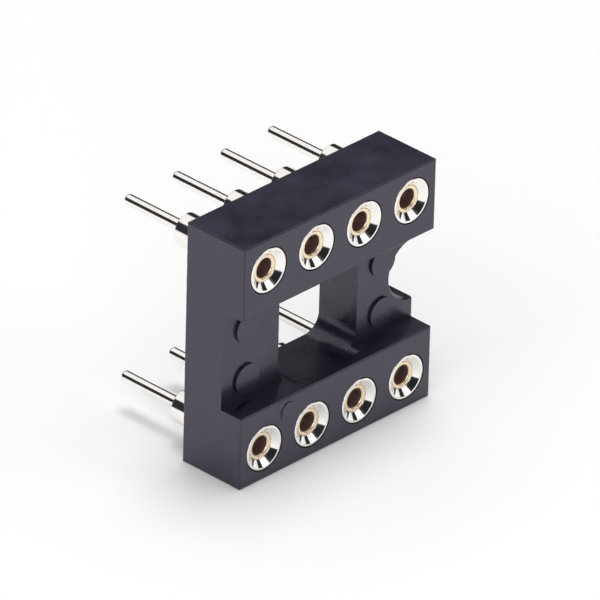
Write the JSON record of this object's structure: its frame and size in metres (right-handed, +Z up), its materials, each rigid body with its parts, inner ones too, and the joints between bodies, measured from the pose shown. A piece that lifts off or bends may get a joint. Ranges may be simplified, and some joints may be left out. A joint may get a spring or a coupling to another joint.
{
  "type": "dual in-line turned-pin socket",
  "caption": "Square dual in-line chip socket: a black stepped moulding with a centre window and end notch, and turned round-hole contacts with solder tails.",
  "frame": {"origin": "under the middle of the bounding box, on the plane that the long side rests on", "axes": "+X along the rows towards the notched end, +Y from the mating face towards the solder tails, +Z up across the rows"},
  "size_m": [0.0102, 0.0074, 0.0103],
  "materials": {
    "black_plastic": "satin moulded, glass-filled polyester",
    "plated_brass": "bright tin plate over turned brass",
    "gold_spring": "gold plate over beryllium copper"
  },
  "bodies": {
    "root": {"insulator_body": "black_plastic", "contact_sleeve_1": "plated_brass", "contact_sleeve_2": "plated_brass", "contact_sleeve_3": "plated_brass", "contact_sleeve_4": "plated_brass", "contact_sleeve_5": "plated_brass", "contact_sleeve_6": "plated_brass", "contact_sleeve_7": "plated_brass", "contact_sleeve_8": "plated_brass", "contact_clip_1": "gold_spring", "contact_clip_2": "gold_spring", "contact_clip_3": "gold_spring", "contact_clip_4": "gold_spring", "contact_clip_5": "gold_spring", "contact_clip_6": "gold_spring", "contact_clip_7": "gold_spring", "contact_clip_8": "gold_spring"}
  },
  "joints": []
}
